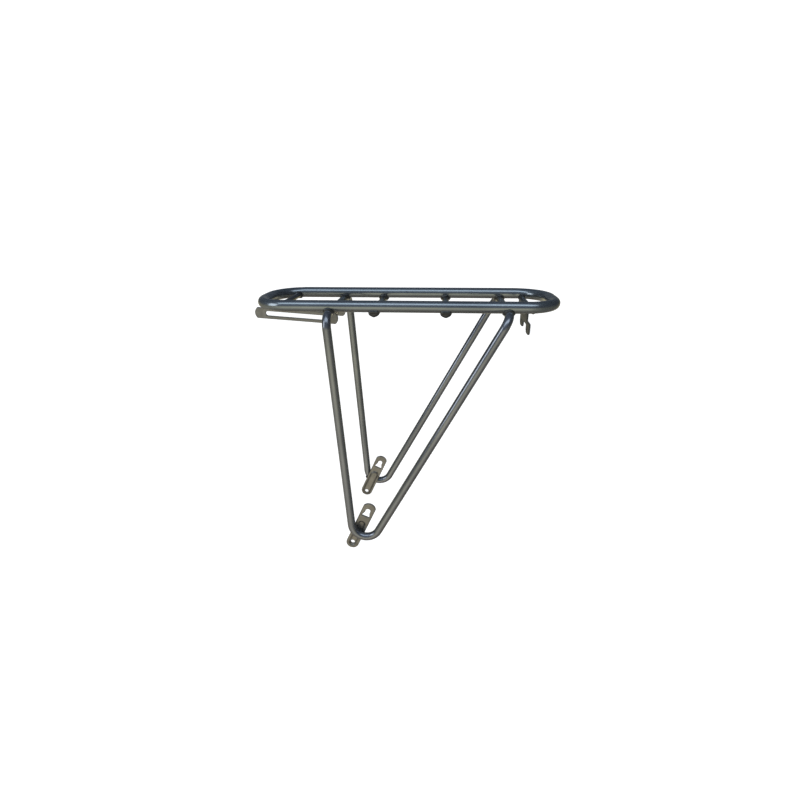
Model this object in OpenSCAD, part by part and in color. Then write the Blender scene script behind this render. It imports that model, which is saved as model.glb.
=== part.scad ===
// Bicycle rear rack. A closed tube loop lies on six cross tubes, and two bent V-shaped legs
// carry it over the wheel. Each leg has a stamped axle bracket at its foot, two slotted front
// stays are bolted under the front of the deck, and a lamp bracket hangs at the rear.
// Origin: middle of the line through the two axle eyelets.
// +X points to the rear of the bicycle, +Z up, and the bicycle's left side is at -Y.

/* [Deck] */
// Height of the rail's centre line above the axle eyelets
deck_height = 376; // [350:1:410]
// Length of the loop, centre line to centre line
deck_length = 412; // [400:1:430]
// Width of the loop, centre line to centre line
deck_width = 114; // [106:1:126]
// Distance from the axle eyelets forward to the loop's front
deck_ahead = 124; // [118:1:130]
// Radius of the loop's corners at the centre line
corner_r = 45; // [38:1:50]
// Outer diameter of the loop's tube
rail_d = 16; // [14:0.5:18]
// Wall thickness of the tubes
wall = 1.2; // [1:0.1:1.6]

/* [Cross tubes] */
// How far the cross tubes' centre lines lie under the rail's
bar_drop = 9; // [8.5:0.5:10]
// Outer diameter of the plain cross tubes
bar_d = 10; // [8:0.5:11]
// Front cross tube, behind the loop's front
front_bar_at = 32; // [28:0.5:36]
// Outer diameter of the front cross tube
front_bar_d = 8; // [7:0.5:9]
// How far the front cross tube's centre line lies under the rail's
front_bar_drop = 3; // [2:0.5:3]
// First deck cross tube, behind the loop's front
deck_bar_1_at = 166.5; // [150:0.5:185]
// Second deck cross tube, behind the loop's front
deck_bar_2_at = 263; // [240:0.5:280]
// Lamp bracket's cross tube, behind the loop's front
lamp_bar_at = 378; // [374:0.5:382]
// Outer diameter of the lamp bracket's cross tube
lamp_bar_d = 6; // [5:0.5:6.5]
// How far the lamp bracket's cross tube lies under the rail's centre line
lamp_bar_drop = 4.5; // [3:0.5:4.5]

/* [Legs] */
// Outer diameter of the leg tubes and of the cross tubes between them
leg_d = 12; // [11:0.5:13]
// Distance between the two legs' centre planes
leg_spread = 162; // [158:1:170]
// Lean of the front half of a leg, forwards
front_lean = 3.6; // [2:0.1:6]
// Lean of the rear half of a leg, backwards
rear_lean = 27.9; // [26:0.1:29]
// Where the two halves' centre lines would meet, behind the eyelets
vertex_x = 6.3; // [4:0.1:9]
// Depth of that meeting point under the eyelets
vertex_drop = 39; // [35:0.5:43]
// Bend radius at the foot
foot_r = 22; // [20:0.5:24]
// Bend radius at the shoulders
shoulder_r = 18; // [16:0.5:20]

/* [Axle brackets] */
// Width of an axle bracket
bracket_w = 20; // [18:0.5:22]
// Sheet thickness of an axle bracket
bracket_t = 3; // [2.5:0.5:3.5]
// Length from the eyelet to the bracket's top end
bracket_len = 80; // [76:1:84]
// Lean of the bracket, backwards
bracket_lean = 23.9; // [22:0.1:26]
// Diameter of the axle eyelet
eyelet_d = 6.4; // [5.3:0.1:6.6]

/* [Front stays] */
// Length of a stay between its end arcs' tips
stay_len = 122; // [116:1:128]
// How far a stay reaches ahead of the front leg bar
stay_ahead = 117; // [113:1:118]
// Width of a stay
stay_w = 16; // [15:0.5:16.5]
// Sheet thickness of a stay
stay_t = 2.5; // [2:0.5:3]
// Width of the long slot
slot_w = 6.4; // [6.2:0.1:6.8]
// Length of the solid metal left ahead of the slot
slot_margin = 16; // [14:1:18]
// Length of the solid metal left behind the slot
slot_rear_margin = 12.3; // [12:0.1:13]
// Distance between the two stays' centre planes
stay_spread = 54; // [50:1:58]
// Slope of the stays, down to the rear
stay_tilt = 3.9; // [3.6:0.1:4.2]

/* [Lamp bracket] */
// Overall width of the lamp bracket
lamp_w = 76; // [74:1:78]
// Distance between the two lamp bolt holes
lamp_pitch = 50; // [49:0.5:51]
// Diameter of the lamp bolt holes
lamp_hole_d = 5.5; // [5.2:0.1:6.4]

/* [Hidden] */
$fn = 64;
EPS = 0.01;
BEND_LAP = 0.4;
BEND_THIN = 0.04;

PAINT = [0.24, 0.29, 0.35];
PAINT_DARK = [0.2, 0.23, 0.25];
PLATE = [0.46, 0.44, 0.37];
ZINC = [0.7, 0.71, 0.72];

// The deck: half sizes, and the height of the cross tubes
rail_y = deck_width / 2;
front_x = -deck_ahead;
rear_x = deck_length - deck_ahead;
bar_z = deck_height - bar_drop;
vent_d = 4;

// The legs: the points where their centre lines reach the cross tubes' height
leg_y = leg_spread / 2;
vertex_z = -vertex_drop;
leg_rise = bar_z - vertex_z;
front_leg_x = vertex_x - leg_rise * tan(front_lean);
rear_leg_x = vertex_x + leg_rise * tan(rear_lean);

// The centre of the foot bend lies on the line that halves the angle between the two halves
half_fork = (front_lean + rear_lean) / 2;
foot_lean = (rear_lean - front_lean) / 2;
foot_rise = foot_r / sin(half_fork);
foot_x = vertex_x + foot_rise * sin(foot_lean);
foot_z = vertex_z + foot_rise * cos(foot_lean);

// The axle brackets lie against the inner sides of the legs
bracket_y = leg_y - leg_d / 2;
window_z = bracket_len - 24.5;
rib_top = 45;
rib_low = -7;
rib_w = 12.5;
rib_rise = 2;

// The cross tubes' places along the deck, with the half distance between their rail crossings
corner_y = rail_y - corner_r;
function crossing_y(x) =
  let (into = max(front_x + corner_r - x, x - rear_x + corner_r, 0))
    corner_y + sqrt(corner_r * corner_r - into * into);
FRONT_LEG_BAR = [front_leg_x, leg_d];
DECK_BAR_1 = [front_x + deck_bar_1_at, bar_d];
DECK_BAR_2 = [front_x + deck_bar_2_at, bar_d];
REAR_LEG_BAR = [rear_leg_x, leg_d];
BARS = [FRONT_LEG_BAR, DECK_BAR_1, DECK_BAR_2, REAR_LEG_BAR];
bar_end = 5;
cap_t = 1.5;
lamp_bar_x = front_x + lamp_bar_at;
lamp_bar_z = deck_height - lamp_bar_drop;
front_bar_x = front_x + front_bar_at;
front_bar_z = deck_height - front_bar_drop;

// The stays run just under the loop's front and the front leg bar
stay_y = stay_spread / 2;
tube_gap = 0.7;
stay_top_clear = stay_w / 2 / cos(stay_tilt) + tube_gap;
stay_ref_z = bar_z - leg_d / 2 - stay_top_clear;
stay_rear = stay_len - stay_ahead;
slot_front = slot_margin - stay_ahead;
slot_rear = stay_rear - slot_rear_margin;

// The clamp bolts stand near the slots' rear ends
bolt_d = 6;
bolt_play = 0.3;
plate_gap = 0.1;
bolt_u = slot_rear - slot_w / 2 - bolt_play;
tab_t = 3;
tab_w = 12;
washer_d = 12;
washer_t = 1.6;
head_af = 10;
head_h = 4;
nut_h = 5;
bolt_tail = 2;
stay_out = stay_y + stay_t / 2;
tab_out = stay_y - stay_t / 2 - plate_gap;

// The lamp bracket: upper sheet against the front of its bar, lugs stepped back under it
lamp_t = 2.5;
lamp_x = lamp_bar_x - lamp_bar_d / 2 - lamp_t;
lamp_step = 4;
lamp_top = lamp_bar_z + 1;
lamp_mid = deck_height - 22;
lamp_low = deck_height - 27;
lamp_bottom = deck_height - 43;
lamp_notch = deck_height - 32;
lug_w = 24;
lug_r = 7;

function unit(v) = v / norm(v);

// The wall of a round tube, as a flat ring
module ring(d) {
  difference() {
    circle(d = d);
    circle(d = d - 2 * wall);
  }
}

// Puts the children's origin at p, with their X and Z axes along x and z
module placed(p, x, z) {
  y = cross(z, x);
  multmatrix([
    [x[0], y[0], z[0], p[0]],
    [x[1], y[1], z[1], p[1]],
    [x[2], y[2], z[2], p[2]],
    [0, 0, 0, 1]
  ])
    children();
}

// A round rod along a path of points, with a bend of the given radius at each inner point. The
// bends are a hair thinner than the straights and reach a little way into them, because the tube
// stretches where it is bent.
module bent_rod(path, radii, d, over) {
  last = len(path) - 1;
  way = [for (i = [0:last - 1]) unit(path[i + 1] - path[i])];
  turn = [for (i = [1:last - 1]) acos(way[i - 1] * way[i])];
  trim = [for (i = [0:last]) i == 0 || i == last ? -over : radii[i - 1] * tan(turn[i - 1] / 2)];
  normal = [for (i = [1:last - 1]) unit(cross(way[i - 1], way[i]))];
  union() {
    for (i = [0:last - 1]) {
      placed(path[i] + way[i] * trim[i], normal[min(i, last - 2)], way[i])
        cylinder(h = norm(path[i + 1] - path[i]) - trim[i] - trim[i + 1], d = d);
    }
    for (i = [1:last - 1]) {
      inward = cross(normal[i - 1], way[i - 1]);
      centre = path[i] - way[i - 1] * trim[i] + inward * radii[i - 1];
      lap = BEND_LAP / radii[i - 1] * 180 / PI;
      placed(centre, -inward, normal[i - 1])
        rotate([0, 0, -lap]) rotate_extrude(angle = turn[i - 1] + 2 * lap)
          translate([radii[i - 1], 0]) circle(d = d - BEND_THIN);
    }
  }
}

// A solid rod along Y
module y_rod(x, y0, y1, z, d) {
  translate([x, y0, z]) rotate([-90, 0, 0]) cylinder(h = y1 - y0, d = d);
}

// A vertical plate in the XZ plane: children are drawn in X and Z, and it fills y to y + t
module xz_plate(y, t) {
  translate([0, y + t, 0]) rotate([90, 0, 0]) linear_extrude(t) children();
}

// Mirrors to the left side when side is -1
module on_side(side) {
  if (side < 0) mirror([0, 1, 0]) children();
  else children();
}

// The loop as a solid, used to cut the saddles of the tubes that are welded to it
module loop_solid() {
  along = deck_length - 2 * corner_r;
  across = deck_width - 2 * corner_r;
  translate([0, 0, deck_height])
    union() {
      for (s = [-1, 1]) {
        translate([front_x + corner_r, s * rail_y, 0])
          rotate([0, 90, 0]) cylinder(h = along, d = rail_d);
      }
      for (x = [front_x, rear_x]) {
        translate([x, -across / 2, 0]) rotate([-90, 0, 0]) cylinder(h = across, d = rail_d);
      }
      for (c = [[rear_x - corner_r, 1, 0], [front_x + corner_r, 1, 90],
                [front_x + corner_r, -1, 180], [rear_x - corner_r, -1, 270]]) {
        translate([c[0], c[1] * corner_y, 0]) rotate([0, 0, c[2]])
          rotate_extrude(angle = 90) translate([corner_r, 0]) circle(d = rail_d);
      }
    }
}

// The deck's outer loop: one tube with four bends, and vent holes under its two ends
module top_loop() {
  along = deck_length - 2 * corner_r;
  across = deck_width - 2 * corner_r;
  color(PAINT)
    difference() {
      translate([0, 0, deck_height])
        union() {
          for (s = [-1, 1]) {
            translate([front_x + corner_r, s * rail_y, 0])
              rotate([0, 90, 0]) linear_extrude(along) ring(rail_d);
          }
          for (x = [front_x, rear_x]) {
            translate([x, across / 2, 0]) rotate([90, 0, 0]) linear_extrude(across) ring(rail_d);
          }
          for (c = [[rear_x - corner_r, 1, 0], [front_x + corner_r, 1, 90],
                    [front_x + corner_r, -1, 180], [rear_x - corner_r, -1, 270]]) {
            translate([c[0], c[1] * corner_y, 0]) rotate([0, 0, c[2]])
              rotate_extrude(angle = 90) translate([corner_r, 0]) ring(rail_d);
          }
        }
      for (x = [front_x, rear_x]) {
        translate([x, 0, deck_height - rail_d / 2 - 1]) cylinder(h = rail_d / 2, d = vent_d);
      }
    }
}

// A cross tube that reaches a little past both rails, with closed ends and with saddles cut to
// fit under the rails
module cross_tube(bar) {
  half = crossing_y(bar[0]) + bar_end;
  difference() {
    difference() {
      y_rod(bar[0], -half, half, bar_z, bar[1]);
      y_rod(bar[0], cap_t - half, half - cap_t, bar_z, bar[1] - 2 * wall);
    }
    loop_solid();
  }
}

// A cross tube between the shoulders of the two legs, ending under the middles of the rails
module leg_bar(x) {
  difference() {
    translate([x, rail_y, bar_z]) rotate([90, 0, 0]) linear_extrude(2 * rail_y) ring(leg_d);
    loop_solid();
  }
}

// A cross tube that lies higher than the others and ends against the loop's inner sides
module inner_tube(x, z, d) {
  half = crossing_y(x);
  difference() {
    translate([x, half, z]) rotate([90, 0, 0]) linear_extrude(2 * half) ring(d);
    loop_solid();
  }
}

module front_bar() {
  color(PAINT_DARK) inner_tube(front_bar_x, front_bar_z, front_bar_d);
}

module front_leg_bar() {
  color(PAINT) leg_bar(front_leg_x);
}

module deck_bar_1() {
  color(PAINT_DARK) cross_tube(DECK_BAR_1);
}

module deck_bar_2() {
  color(PAINT_DARK) cross_tube(DECK_BAR_2);
}

module rear_leg_bar() {
  color(PAINT) leg_bar(rear_leg_x);
}

module lamp_bar() {
  color(PAINT_DARK) inner_tube(lamp_bar_x, lamp_bar_z, lamp_bar_d);
}

// One leg: out from under the rail, over the front shoulder, down, round the foot, up to the
// rear shoulder and back in under the rail
module leg(side) {
  path = [
    [front_leg_x, rail_y, bar_z],
    [front_leg_x, leg_y, bar_z],
    [vertex_x, leg_y, vertex_z],
    [rear_leg_x, leg_y, bar_z],
    [rear_leg_x, rail_y, bar_z]
  ];
  bends = [shoulder_r, foot_r, shoulder_r];
  color(PAINT)
    on_side(side)
      difference() {
        difference() {
          bent_rod(path, bends, leg_d, 0);
          bent_rod(path, bends, leg_d - 2 * wall, 1);
        }
        translate([front_x + corner_r, rail_y, deck_height])
          rotate([0, 90, 0]) cylinder(h = deck_length - 2 * corner_r, d = rail_d);
      }
}

module leg_left() {
  leg(-1);
}

module leg_right() {
  leg(1);
}

// A capsule outline along the bracket's own length
module capsule(low, high, w) {
  translate([-w / 2, low + w / 2]) square([w, high - low - w]);
  translate([0, low + w / 2]) circle(d = w);
  translate([0, high - w / 2]) circle(d = w);
}

// Outline of an axle bracket, standing on its eyelet
module bracket_outline() {
  top_r = bracket_w * 0.55;
  circle(d = bracket_w);
  intersection() {
    translate([-bracket_w / 2, 0]) square([bracket_w, bracket_len]);
    union() {
      translate([-bracket_w / 2, 0]) square([bracket_w, bracket_len - top_r]);
      translate([0, bracket_len - top_r]) circle(r = top_r);
    }
  }
}

// The bell-shaped strap window: a wide flat lower edge under a round top
module window_outline() {
  translate([0, 10.6]) circle(d = 7.5);
  for (s = [-1, 1]) {
    polygon([[0, 0], [s * 6, 0], [s * 5.2, 3.5], [s * 3.75, 7.2], [s * 3.75, 10.6], [0, 10.6]]);
  }
}

// Stamped axle bracket: eyelet, pressed rib and strap window
module axle_bracket(side) {
  inner = bracket_y - bracket_t;
  color(PLATE)
    on_side(side)
      rotate([0, bracket_lean, 0])
        difference() {
          union() {
            xz_plate(inner, bracket_t) bracket_outline();
            xz_plate(inner - rib_rise, rib_rise + EPS) capsule(rib_low, rib_top, rib_w);
          }
          xz_plate(bracket_y - rib_rise, rib_rise + 1) capsule(rib_low + 2, rib_top - 2, rib_w - 4);
          y_rod(0, inner - 5, bracket_y + 5, 0, eyelet_d);
          translate([0, 0, window_z]) xz_plate(inner - 1, bracket_t + 2) window_outline();
        }
}

module axle_bracket_left() {
  axle_bracket(-1);
}

module axle_bracket_right() {
  axle_bracket(1);
}

// Puts the children on a stay's own line: X along the stay, from the front leg bar's place
module on_stay_line() {
  translate([front_leg_x, 0, stay_ref_z]) rotate([0, stay_tilt, 0]) children();
}

// Slotted front stay: a flat strip on edge, with arc ends and one long slot
module front_stay(side) {
  end_r = stay_w * 0.65;
  color(PLATE)
    on_side(side)
      on_stay_line()
        xz_plate(stay_y - stay_t / 2, stay_t)
          difference() {
            intersection() {
              translate([-stay_ahead, -stay_w / 2]) square([stay_len, stay_w]);
              union() {
                translate([-stay_ahead + end_r, -stay_w / 2]) square([stay_len - 2 * end_r, stay_w]);
                translate([-stay_ahead + end_r, 0]) circle(r = end_r);
                translate([stay_rear - end_r, 0]) circle(r = end_r);
              }
            }
            translate([slot_front + slot_w / 2, -slot_w / 2])
              square([slot_rear - slot_front - slot_w, slot_w]);
            translate([slot_front + slot_w / 2, 0]) circle(d = slot_w);
            translate([slot_rear - slot_w / 2, 0]) circle(d = slot_w);
          }
}

module front_stay_left() {
  front_stay(-1);
}

module front_stay_right() {
  front_stay(1);
}

// Lug that holds a stay's clamp bolt, welded to the underside of the front leg bar
module stay_tab(side) {
  bolt_at = [bolt_u, 0];
  rise = stay_top_clear + leg_d / 2;
  lean = atan2(-bolt_u, rise);
  color(PLATE)
    on_side(side)
      difference() {
        on_stay_line()
          difference() {
            xz_plate(tab_out - tab_t, tab_t) {
              translate(bolt_at) circle(d = tab_w);
              translate(bolt_at) rotate(-lean) translate([-tab_w / 2, 0])
                square([tab_w, norm([bolt_u, rise]) - 3]);
            }
            y_rod(bolt_u, tab_out - tab_t - 1, tab_out + 1, 0, bolt_d);
          }
        y_rod(front_leg_x, 0, rail_y, bar_z, leg_d);
      }
}

module stay_tab_left() {
  stay_tab(-1);
}

module stay_tab_right() {
  stay_tab(1);
}

// Everything on the clamp bolt's axis, drawn along +Y with y = 0 at the rack's middle plane
module at_bolts() {
  for (side = [-1, 1]) {
    on_side(side) on_stay_line() translate([bolt_u, 0, 0]) rotate([-90, 0, 0]) children();
  }
}

// Hexagon-headed clamp bolts, their heads outside the stays
module stay_bolts() {
  head_at = stay_out + plate_gap + washer_t;
  tail_at = tab_out - tab_t - nut_h - bolt_tail;
  color(ZINC)
    at_bolts()
      union() {
        translate([0, 0, head_at]) cylinder(h = head_h, d = head_af / cos(30), $fn = 6);
        translate([0, 0, tail_at]) cylinder(h = head_at - tail_at + EPS, d = bolt_d);
      }
}

module stay_washers() {
  color(ZINC)
    at_bolts()
      translate([0, 0, stay_out + plate_gap])
        difference() {
          cylinder(h = washer_t, d = washer_d);
          translate([0, 0, -1]) cylinder(h = washer_t + 2, d = bolt_d);
        }
}

module stay_nuts() {
  color(ZINC)
    at_bolts()
      translate([0, 0, tab_out - tab_t - nut_h])
        difference() {
          cylinder(h = nut_h, d = head_af / cos(30), $fn = 6);
          translate([0, 0, -1]) cylinder(h = nut_h + 2, d = bolt_d);
        }
}

// Side view of the lamp bracket's sheet, in X and Z
module lamp_profile() {
  polygon([
    [lamp_x, lamp_top],
    [lamp_x + lamp_t, lamp_top],
    [lamp_x + lamp_t, lamp_mid],
    [lamp_x + lamp_t + lamp_step, lamp_low],
    [lamp_x + lamp_t + lamp_step, lamp_bottom],
    [lamp_x + lamp_step, lamp_bottom],
    [lamp_x + lamp_step, lamp_low - 1],
    [lamp_x, lamp_mid - 1]
  ]);
}

// Front view of the lamp bracket: a wide plate with two round-cornered lugs
module lamp_outline() {
  translate([-lamp_w / 2, lamp_notch]) square([lamp_w, lamp_top - lamp_notch]);
  for (s = [-1, 1]) {
    middle = s * (lamp_w - lug_w) / 2;
    translate([middle - lug_w / 2, lamp_bottom + lug_r])
      square([lug_w, lamp_notch - lamp_bottom - lug_r + EPS]);
    translate([middle - lug_w / 2 + lug_r, lamp_bottom]) square([lug_w - 2 * lug_r, lug_r + EPS]);
    for (e = [-1, 1]) {
      translate([middle + e * (lug_w / 2 - lug_r), lamp_bottom + lug_r]) circle(r = lug_r);
    }
  }
}

// Rear lamp bracket: a sheet on its own cross tube, stepped back to two bolt lugs
module lamp_bracket() {
  hole_z = lamp_bottom + 8;
  color(PLATE)
    difference() {
      intersection() {
        xz_plate(-lamp_w / 2 - 1, lamp_w + 2) lamp_profile();
        translate([lamp_x - 1, 0, 0])
          rotate([90, 0, 90]) linear_extrude(lamp_step + lamp_t + 2) lamp_outline();
      }
      for (s = [-1, 1]) {
        translate([lamp_x - 1, s * lamp_pitch / 2, hole_z])
          rotate([0, 90, 0]) cylinder(h = lamp_step + lamp_t + 2, d = lamp_hole_d);
      }
      translate([lamp_x - 1, 0, deck_height - 18])
        rotate([0, 90, 0]) cylinder(h = lamp_t + 2, d = 5);
    }
}

// Weld fillets where each cross tube passes under a rail
module rail_welds(side) {
  color(PAINT_DARK)
    on_side(side)
      difference() {
        union() {
          for (bar = BARS) {
            flare = bar[1] == bar_d ? 3.4 : 2;
            low = bar[1] * 0.35;
            translate([bar[0], crossing_y(bar[0]), bar_z - low])
              cylinder(h = low + bar_drop - rail_d * 0.4, r1 = bar[1] * 0.46, r2 = bar[1] / 2 + flare);
          }
          translate([front_bar_x, crossing_y(front_bar_x) - rail_d / 2 - 4, front_bar_z])
            rotate([-90, 0, 0]) cylinder(h = 7, r1 = front_bar_d / 2 + 0.2, r2 = front_bar_d / 2 + 3);
          translate([lamp_bar_x, crossing_y(lamp_bar_x) - rail_d / 2 - 4, lamp_bar_z])
            rotate([-90, 0, 0]) cylinder(h = 7, r1 = lamp_bar_d / 2 + 0.2, r2 = lamp_bar_d / 2 + 3);
        }
        loop_solid();
        y_rod(front_bar_x, 0, rail_y, front_bar_z, front_bar_d);
        y_rod(lamp_bar_x, 0, rail_y, lamp_bar_z, lamp_bar_d);
        for (bar = BARS) {
          y_rod(bar[0], 0, bar[1] == bar_d ? crossing_y(bar[0]) + bar_end : leg_y, bar_z, bar[1]);
        }
      }
}

module rail_welds_left() {
  rail_welds(-1);
}

module rail_welds_right() {
  rail_welds(1);
}

// Weld beads on both sides of each foot bend, where it lies on its axle bracket
module axle_bracket_welds() {
  bead_r = 2;
  offset_r = 4.4;
  color(PAINT_DARK)
    for (side = [-1, 1]) {
      on_side(side)
        difference() {
          for (s = [-1, 1]) {
            bead_path = foot_r + s * offset_r;
            span = s < 0 ? 50 : 40;
            first = s < 0 ? 222 : 228;
            translate([foot_x, bracket_y, foot_z]) rotate([0, bracket_lean, 0]) rotate([90, 0, 0])
              rotate([0, 0, first]) rotate_extrude(angle = span)
                translate([bead_path, -bead_r * 0.45]) circle(r = bead_r);
          }
          translate([foot_x, leg_y, foot_z]) rotate([90, 0, 0]) rotate_extrude()
            translate([foot_r, 0]) circle(d = leg_d);
          translate([-60, 0, -60]) cube([160, bracket_y, 160]);
        }
    }
}

// Weld beads between the stay tabs and the front leg bar, on the sides away from the stays
module stay_tab_welds() {
  bead = 2.2;
  color(PAINT_DARK)
    for (side = [-1, 1]) {
      on_side(side)
        translate([front_leg_x, tab_out - tab_t, bar_z])
          rotate([90, 0, 0]) rotate([0, 0, 205])
            rotate_extrude(angle = 54)
              polygon([[leg_d / 2, 0], [leg_d / 2 + bead, 0], [leg_d / 2, bead]]);
    }
}

// Two short weld beads between the lamp bracket and its cross tube
module lamp_bracket_welds() {
  bead = 2.4;
  bead_len = 22;
  color(PAINT_DARK)
    for (s = [-1, 1]) {
      difference() {
        xz_plate(s * 20 - bead_len / 2, bead_len)
          polygon([
            [lamp_x + lamp_t, lamp_bar_z - 0.5],
            [lamp_x + lamp_t, lamp_bar_z - 2.6 - bead],
            [lamp_x + lamp_t + bead, lamp_bar_z - 0.6 - bead]
          ]);
        y_rod(lamp_bar_x, -rail_y, rail_y, lamp_bar_z, lamp_bar_d);
      }
    }
}

top_loop();
front_bar();
front_leg_bar();
deck_bar_1();
deck_bar_2();
rear_leg_bar();
lamp_bar();
leg_left();
leg_right();
axle_bracket_left();
axle_bracket_right();
front_stay_left();
front_stay_right();
stay_tab_left();
stay_tab_right();
stay_bolts();
stay_washers();
stay_nuts();
lamp_bracket();
rail_welds_left();
rail_welds_right();
axle_bracket_welds();
stay_tab_welds();
lamp_bracket_welds();
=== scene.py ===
"""Rear rack: detailed tubes, stamped plates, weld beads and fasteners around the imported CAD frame."""
import math

import bmesh
import bpy
import numpy as np
from mathutils import Matrix, Vector, geometry


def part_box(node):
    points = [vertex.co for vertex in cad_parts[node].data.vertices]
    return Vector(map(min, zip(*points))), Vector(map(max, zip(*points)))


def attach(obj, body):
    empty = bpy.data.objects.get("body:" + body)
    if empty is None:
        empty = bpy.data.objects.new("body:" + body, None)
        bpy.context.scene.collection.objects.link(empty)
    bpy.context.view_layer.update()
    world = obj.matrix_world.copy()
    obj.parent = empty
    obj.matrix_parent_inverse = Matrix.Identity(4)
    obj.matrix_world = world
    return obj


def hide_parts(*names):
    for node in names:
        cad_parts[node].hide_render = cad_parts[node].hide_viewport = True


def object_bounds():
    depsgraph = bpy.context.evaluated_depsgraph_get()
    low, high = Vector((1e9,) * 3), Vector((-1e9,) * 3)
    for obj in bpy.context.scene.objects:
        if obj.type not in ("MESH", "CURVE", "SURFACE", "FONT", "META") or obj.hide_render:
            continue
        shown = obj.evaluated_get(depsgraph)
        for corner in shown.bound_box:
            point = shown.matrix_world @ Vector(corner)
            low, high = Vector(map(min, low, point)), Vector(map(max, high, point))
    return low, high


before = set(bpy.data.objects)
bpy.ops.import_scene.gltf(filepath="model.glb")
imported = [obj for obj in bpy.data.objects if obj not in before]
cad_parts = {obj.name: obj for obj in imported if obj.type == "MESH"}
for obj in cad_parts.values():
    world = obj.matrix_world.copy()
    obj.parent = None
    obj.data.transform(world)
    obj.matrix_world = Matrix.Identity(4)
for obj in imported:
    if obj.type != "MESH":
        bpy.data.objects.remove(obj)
cad_low, cad_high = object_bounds()

MM = 0.001

# ---------------------------------------------------------------- sizes, in millimetres
loop_low, loop_high = (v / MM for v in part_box("top_loop"))
RAIL_R = (loop_high.z - loop_low.z) / 2
DECK_Z = (loop_high.z + loop_low.z) / 2
FRONT_X = loop_low.x + RAIL_R
REAR_X = loop_high.x - RAIL_R
RAIL_Y = loop_high.y - RAIL_R
CORNER_R = 45.0
CORNER_Y = RAIL_Y - CORNER_R


def node_middle(name):
    low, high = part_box(name)
    return (low + high) / 2 / MM


def node_size(name):
    low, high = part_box(name)
    return (high - low) / MM


BAR_Z = DECK_Z - 9.0
BAR_R = 5.0
LEG_R = 6.0
LEG_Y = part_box("leg_right")[1].y / MM - LEG_R
FRONT_LEG_X = node_middle("front_leg_bar").x
REAR_LEG_X = node_middle("rear_leg_bar").x
VERTEX = (6.3, -39.0)
FOOT_R = 22.0
SHOULDER_R = 18.0
FRONT_LEAN = math.radians(3.6)
REAR_LEAN = math.radians(27.9)
BRACKET_LEAN = math.radians(23.9)
BRACKET_Y = LEG_Y - LEG_R
BRACKET_T = 3.0
BRACKET_W = 20.0
BRACKET_LEN = 80.0
STAY_TILT = math.radians(3.9)
STAY_T = 2.5
STAY_W = 16.0
STAY_Y = 27.0
STAY_LEN = 122.0
STAY_AHEAD = 117.0
STAY_REAR = STAY_LEN - STAY_AHEAD
SLOT_W = 6.4
SLOT_FRONT = 16.0 - STAY_AHEAD
SLOT_REAR = STAY_REAR - 12.3
BOLT_U = SLOT_REAR - SLOT_W / 2 - 0.3
STAY_Z = BAR_Z - LEG_R - STAY_W / 2 / math.cos(STAY_TILT) - 0.7
TAB_T = 3.0
TAB_HALF = 6.0
PLATE_GAP = 0.1
TAB_OUT = STAY_Y - STAY_T / 2 - PLATE_GAP
BOLT_R = 3.0
HEX_FLATS = 10.0
HEAD_H = 4.0
NUT_H = 5.0
WASHER_R = 6.0
WASHER_T = 1.6
BOLT_TAIL = 2.0
EYELET_R = 3.2
WINDOW_BASE = BRACKET_LEN - 24.5
LAMP_T = 2.5
LAMP_STEP = 4.0
LAMP_HALF = 38.0
LUG_W = 24.0
LUG_R = 7.0
LAMP_HOLE_Y = 25.0
LAMP_HOLE_R = 2.75

# A ring this small stands for a point on the axis
AXIS = 0.001

collection = bpy.context.scene.collection


# ---------------------------------------------------------------- materials
def shades(ramp, stops):
    """Sets a colour ramp's stops."""
    ramp.elements[0].position, ramp.elements[0].color = stops[0][0], (*stops[0][1], 1)
    ramp.elements[1].position, ramp.elements[1].color = stops[-1][0], (*stops[-1][1], 1)
    for position, colour in stops[1:-1]:
        ramp.elements.new(position).color = (*colour, 1)


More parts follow.
